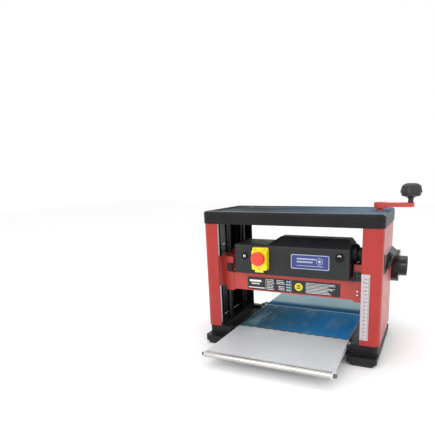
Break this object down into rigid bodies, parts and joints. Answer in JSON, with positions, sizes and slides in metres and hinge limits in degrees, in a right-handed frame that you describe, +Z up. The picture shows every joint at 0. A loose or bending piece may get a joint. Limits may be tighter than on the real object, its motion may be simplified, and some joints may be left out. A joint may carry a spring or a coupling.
{
  "type": "thickness planer",
  "caption": "Portable thickness planer with a crank-raised cutter carriage on four columns, folding infeed and outfeed tables and a side dust outlet.",
  "frame": {"origin": "on the supporting surface, at the centre of the four bench bolt holes, under the middle of the four columns", "axes": "+X to the operator's right, +Y in the feed direction towards the outfeed table, +Z up"},
  "size_m": [0.5855, 0.63, 0.4619],
  "materials": {
    "cast_black": "satin black enamel on an aluminium casting",
    "rubber": "matt black rubber",
    "bed_steel": "ground and polished steel",
    "chrome": "hard chrome",
    "steel": "machined steel",
    "black_plastic": "textured moulded plastic",
    "black_gloss": "glossy moulded plastic",
    "red_paint": "red powder coat on sheet steel",
    "red_casting": "red paint on an aluminium casting",
    "black_steel": "black paint on steel",
    "grey_casting": "as-cast aluminium",
    "scale_white": "printed label",
    "bronze": "bearing bronze",
    "badge_blue": "anodised plate",
    "yellow_plastic": "moulded plastic",
    "red_plastic": "moulded plastic",
    "green_plastic": "moulded plastic",
    "table_steel": "satin silver-grey coating on sheet steel"
  },
  "bodies": {
    "stand": {"base_deck": "cast_black", "base_sides": "cast_black", "rubber_feet": "rubber", "bed_plate": "bed_steel", "guide_columns": "chrome", "top_plate": "steel", "top_cover": "black_plastic", "housing_left": "red_paint", "housing_right": "red_paint", "carry_grips": "black_plastic", "scale_strip": "scale_white", "stand_screws": "steel", "screw_bushes": "bronze", "lift_chain": "steel", "table_pivot_pins": "steel"},
    "right_screw": {"lead_screw_right": "steel", "lift_sprocket_right": "steel", "crank_arm": "red_paint", "crank_bolts": "steel"},
    "left_screw": {"lead_screw_left": "steel", "lift_sprocket_left": "steel"},
    "knob": {"crank_knob": "black_plastic"},
    "carriage": {"carriage_frame": "red_casting", "column_bushes": "bronze", "lead_nuts": "bronze", "depth_pointer": "red_paint", "cover_brackets": "black_steel", "motor_cover": "black_plastic", "motor_stator": "steel", "motor_end_bell": "cast_black", "brush_caps": "black_plastic", "badge_plate": "badge_blue", "switch_box": "yellow_plastic", "chip_hood": "black_steel", "dust_adaptor": "black_gloss", "roller_bearings": "steel", "feed_gearbox": "grey_casting", "feed_chain": "steel", "drive_belt": "rubber", "pawl_shaft": "steel", "cable_gland": "black_plastic"},
    "cutter": {"cutter_head": "steel", "cutter_knives": "steel", "cutter_pulley": "grey_casting"},
    "rotor": {"motor_armature": "steel", "motor_fan": "black_plastic", "motor_pulley": "grey_casting"},
    "front_feed": {"feed_roller_front": "rubber", "feed_shaft_front": "steel"},
    "rear_feed": {"feed_roller_rear": "rubber", "feed_shaft_rear": "steel"},
    "pawls": {"anti_kickback_pawls": "steel"},
    "flap": {"switch_flap": "yellow_plastic"},
    "stop": {"stop_button": "red_plastic"},
    "start": {"start_button": "green_plastic"},
    "reset": {"reset_button": "black_plastic"},
    "infeed": {"infeed_table": "table_steel"},
    "infeed_roller": {"infeed_table_roller": "chrome"},
    "outfeed": {"outfeed_table": "table_steel"},
    "outfeed_roller": {"outfeed_table_roller": "chrome"}
  },
  "joints": [
    {"name": "crank_turn", "type": "hinge", "parent": "stand", "child": "right_screw", "pos_m": [0.229, -0.016, 0.41], "axis": [0, 0, 1], "range_deg": [-20341, 6121]},
    {"name": "left_screw_turn", "type": "hinge", "parent": "stand", "child": "left_screw", "pos_m": [-0.229, -0.016, 0.2], "axis": [0, 0, 1], "range_deg": [-20341, 6121]},
    {"name": "carriage_lift", "type": "slide", "parent": "stand", "child": "carriage", "axis": [0, 0, 1], "range_m": [-0.113, 0.034]},
    {"name": "knob_spin", "type": "hinge", "parent": "right_screw", "child": "knob", "pos_m": [0.303, -0.016, 0.43], "axis": [0, 0, 1], "continuous": true},
    {"name": "cutter_spin", "type": "hinge", "parent": "carriage", "child": "cutter", "pos_m": [0, 0, 0.185], "axis": [1, 0, 0], "continuous": true},
    {"name": "motor_spin", "type": "hinge", "parent": "carriage", "child": "rotor", "pos_m": [0, -0.062, 0.283], "axis": [1, 0, 0], "continuous": true},
    {"name": "front_feed_spin", "type": "hinge", "parent": "carriage", "child": "front_feed", "pos_m": [0, -0.044, 0.174], "axis": [1, 0, 0], "continuous": true},
    {"name": "rear_feed_spin", "type": "hinge", "parent": "carriage", "child": "rear_feed", "pos_m": [0, 0.044, 0.174], "axis": [1, 0, 0], "continuous": true},
    {"name": "pawl_swing", "type": "hinge", "parent": "carriage", "child": "pawls", "pos_m": [0, -0.068, 0.178], "axis": [1, 0, 0], "range_deg": [0, 30]},
    {"name": "flap_open", "type": "hinge", "parent": "carriage", "child": "flap", "pos_m": [-0.069, -0.135, 0.2945], "axis": [-1, 0, 0], "range_deg": [0, 95]},
    {"name": "stop_press", "type": "slide", "parent": "flap", "child": "stop", "axis": [0, 1, 0], "range_m": [0, 0.003], "stiffness_N_per_m": 400, "springref_m": -0.004},
    {"name": "start_press", "type": "slide", "parent": "carriage", "child": "start", "axis": [0, 1, 0], "range_m": [0, 0.002], "stiffness_N_per_m": 300, "springref_m": -0.004},
    {"name": "reset_press", "type": "slide", "parent": "carriage", "child": "reset", "axis": [0, 1, 0], "range_m": [0, 0.002], "stiffness_N_per_m": 300, "springref_m": -0.004},
    {"name": "infeed_fold", "type": "hinge", "parent": "stand", "child": "infeed", "pos_m": [0, -0.08, 0.0335], "axis": [-1, 0, 0], "range_deg": [0, 72]},
    {"name": "infeed_roller_spin", "type": "hinge", "parent": "infeed", "child": "infeed_roller", "pos_m": [0, -0.272, 0.033], "axis": [1, 0, 0], "continuous": true},
    {"name": "outfeed_fold", "type": "hinge", "parent": "stand", "child": "outfeed", "pos_m": [0, 0.149, 0.0335], "axis": [1, 0, 0], "range_deg": [0, 65]},
    {"name": "outfeed_roller_spin", "type": "hinge", "parent": "outfeed", "child": "outfeed_roller", "pos_m": [0, 0.341, 0.033], "axis": [1, 0, 0], "continuous": true}
  ],
  "couplings": [
    {"joint": "crank_turn", "follows": "carriage_lift", "rad_per_m": 3141.6},
    {"joint": "left_screw_turn", "follows": "carriage_lift", "rad_per_m": 3141.6},
    {"joint": "motor_spin", "follows": "cutter_spin", "ratio": 1.5},
    {"joint": "front_feed_spin", "follows": "cutter_spin", "ratio": -0.035714},
    {"joint": "rear_feed_spin", "follows": "cutter_spin", "ratio": -0.035714}
  ]
}
